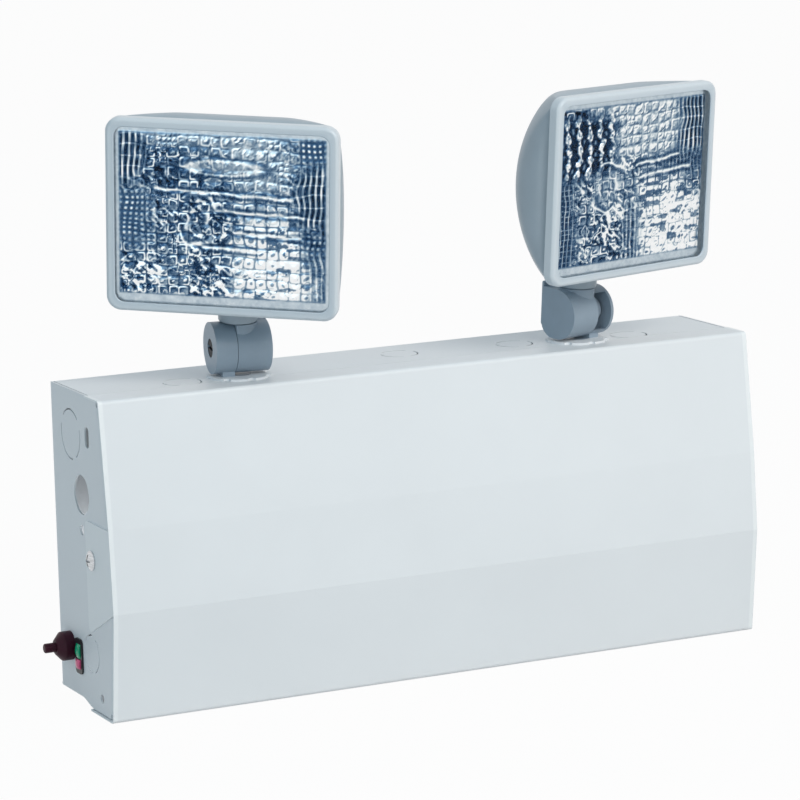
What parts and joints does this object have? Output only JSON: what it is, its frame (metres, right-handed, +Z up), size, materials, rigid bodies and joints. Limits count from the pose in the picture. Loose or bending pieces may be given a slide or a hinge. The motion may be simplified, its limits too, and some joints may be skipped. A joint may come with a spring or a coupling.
{
  "type": "emergency light",
  "caption": "Wall-mounted battery emergency light: folded steel cabinet with test button and pilot window, and swivelling rectangular lamp heads on its top.",
  "frame": {"origin": "middle of the cabinet's back face, on the wall plane", "axes": "+X to the right of someone facing the light, +Y back into the wall, +Z up"},
  "size_m": [0.4238, 0.1315, 0.3289],
  "materials": {
    "cabinet_paint": "satin powder coat",
    "zinc_steel": "zinc plated",
    "ground_green": "satin",
    "seat_white": "moulded",
    "battery_case": "moulded",
    "lead_red": "insulation",
    "lead_black": "insulation",
    "core_steel": "varnished laminations",
    "winding": "enamelled wire",
    "board_green": "solder mask",
    "nylon_white": "moulded",
    "relay_blue": "moulded",
    "capacitor_black": "sleeved",
    "heat_sink": "extruded",
    "fuse_glass": "clear tube",
    "block_green": "moulded",
    "switch_body": "moulded",
    "boot_rubber": "satin",
    "pilot_black": "moulded",
    "green_lens": "tinted",
    "red_lens": "tinted",
    "knuckle_grey": "fine texture",
    "housing_grey": "fine texture",
    "bezel_grey": "satin",
    "clear_lens": "prismatic",
    "gasket_rubber": "soft",
    "reflector_mirror": "vacuum metallised",
    "lamp_glass": "clear",
    "lamp_metal": "nickel brass",
    "socket_black": "moulded"
  },
  "bodies": {
    "cabinet": {"back_box": "cabinet_paint", "front_cover": "cabinet_paint", "cover_screws": "zinc_steel", "clip_nuts": "zinc_steel", "swivel_seats": "seat_white", "ground_screw": "ground_green", "battery": "battery_case", "battery_terminals": "zinc_steel", "battery_strap": "zinc_steel", "strap_screws": "zinc_steel", "red_lead": "lead_red", "black_lead": "lead_black", "transformer_core": "core_steel", "transformer_winding": "winding", "transformer_bracket": "zinc_steel", "charger_board": "board_green", "board_standoffs": "nylon_white", "relay": "relay_blue", "capacitors": "capacitor_black", "heat_sink": "heat_sink", "fuse_holder": "fuse_glass", "terminal_block": "block_green", "test_switch": "switch_body", "switch_nut": "zinc_steel", "switch_boot": "boot_rubber", "indicator_housing": "pilot_black", "green_lens": "green_lens", "red_lens": "red_lens"},
    "test_button": {"test_button": "boot_rubber"},
    "left_foot": {"left_foot": "knuckle_grey", "left_lock_nut": "zinc_steel"},
    "left_arm": {"left_arm": "knuckle_grey", "left_clamp_screw": "zinc_steel", "left_clamp_nut": "zinc_steel", "left_stem_nut": "zinc_steel"},
    "left_head": {"left_housing": "housing_grey", "left_bezel": "bezel_grey", "left_lens": "clear_lens", "left_gasket": "gasket_rubber", "left_reflector": "reflector_mirror", "left_lamp_glass": "lamp_glass", "left_lamp_base": "lamp_metal", "left_lamp_socket": "socket_black"},
    "right_foot": {"right_foot": "knuckle_grey", "right_lock_nut": "zinc_steel"},
    "right_arm": {"right_arm": "knuckle_grey", "right_clamp_screw": "zinc_steel", "right_clamp_nut": "zinc_steel", "right_stem_nut": "zinc_steel"},
    "right_head": {"right_housing": "housing_grey", "right_bezel": "bezel_grey", "right_lens": "clear_lens", "right_gasket": "gasket_rubber", "right_reflector": "reflector_mirror", "right_lamp_glass": "lamp_glass", "right_lamp_base": "lamp_metal", "right_lamp_socket": "socket_black"}
  },
  "joints": [
    {"name": "test_button_slide", "type": "slide", "parent": "cabinet", "child": "test_button", "axis": [1, 0, 0], "range_m": [0, 0.003], "stiffness_N_per_m": 200},
    {"name": "left_pan", "type": "hinge", "parent": "cabinet", "child": "left_foot", "pos_m": [-0.107, -0.046, 0.1059], "axis": [0, 0, 1], "range_deg": [-82, 98]},
    {"name": "left_tilt", "type": "hinge", "parent": "left_foot", "child": "left_arm", "pos_m": [-0.107, -0.046, 0.1059], "axis": [0.9903, -0.1392, 0], "range_deg": [-41.5, 25.5]},
    {"name": "left_swivel", "type": "hinge", "parent": "left_arm", "child": "left_head", "pos_m": [-0.107, -0.046, 0.1059], "axis": [-0.0158, -0.1121, 0.9936], "range_deg": [-12, 68]},
    {"name": "right_pan", "type": "hinge", "parent": "cabinet", "child": "right_foot", "pos_m": [0.107, -0.046, 0.1059], "axis": [0, 0, 1], "range_deg": [-106, 74]},
    {"name": "right_tilt", "type": "hinge", "parent": "right_foot", "child": "right_arm", "pos_m": [0.107, -0.046, 0.1059], "axis": [0.9613, 0.2756, 0], "range_deg": [-39.5, 27.5]},
    {"name": "right_swivel", "type": "hinge", "parent": "right_arm", "child": "right_head", "pos_m": [0.107, -0.046, 0.1059], "axis": [0.0216, -0.0754, 0.9969], "range_deg": [-40, 40]}
  ]
}
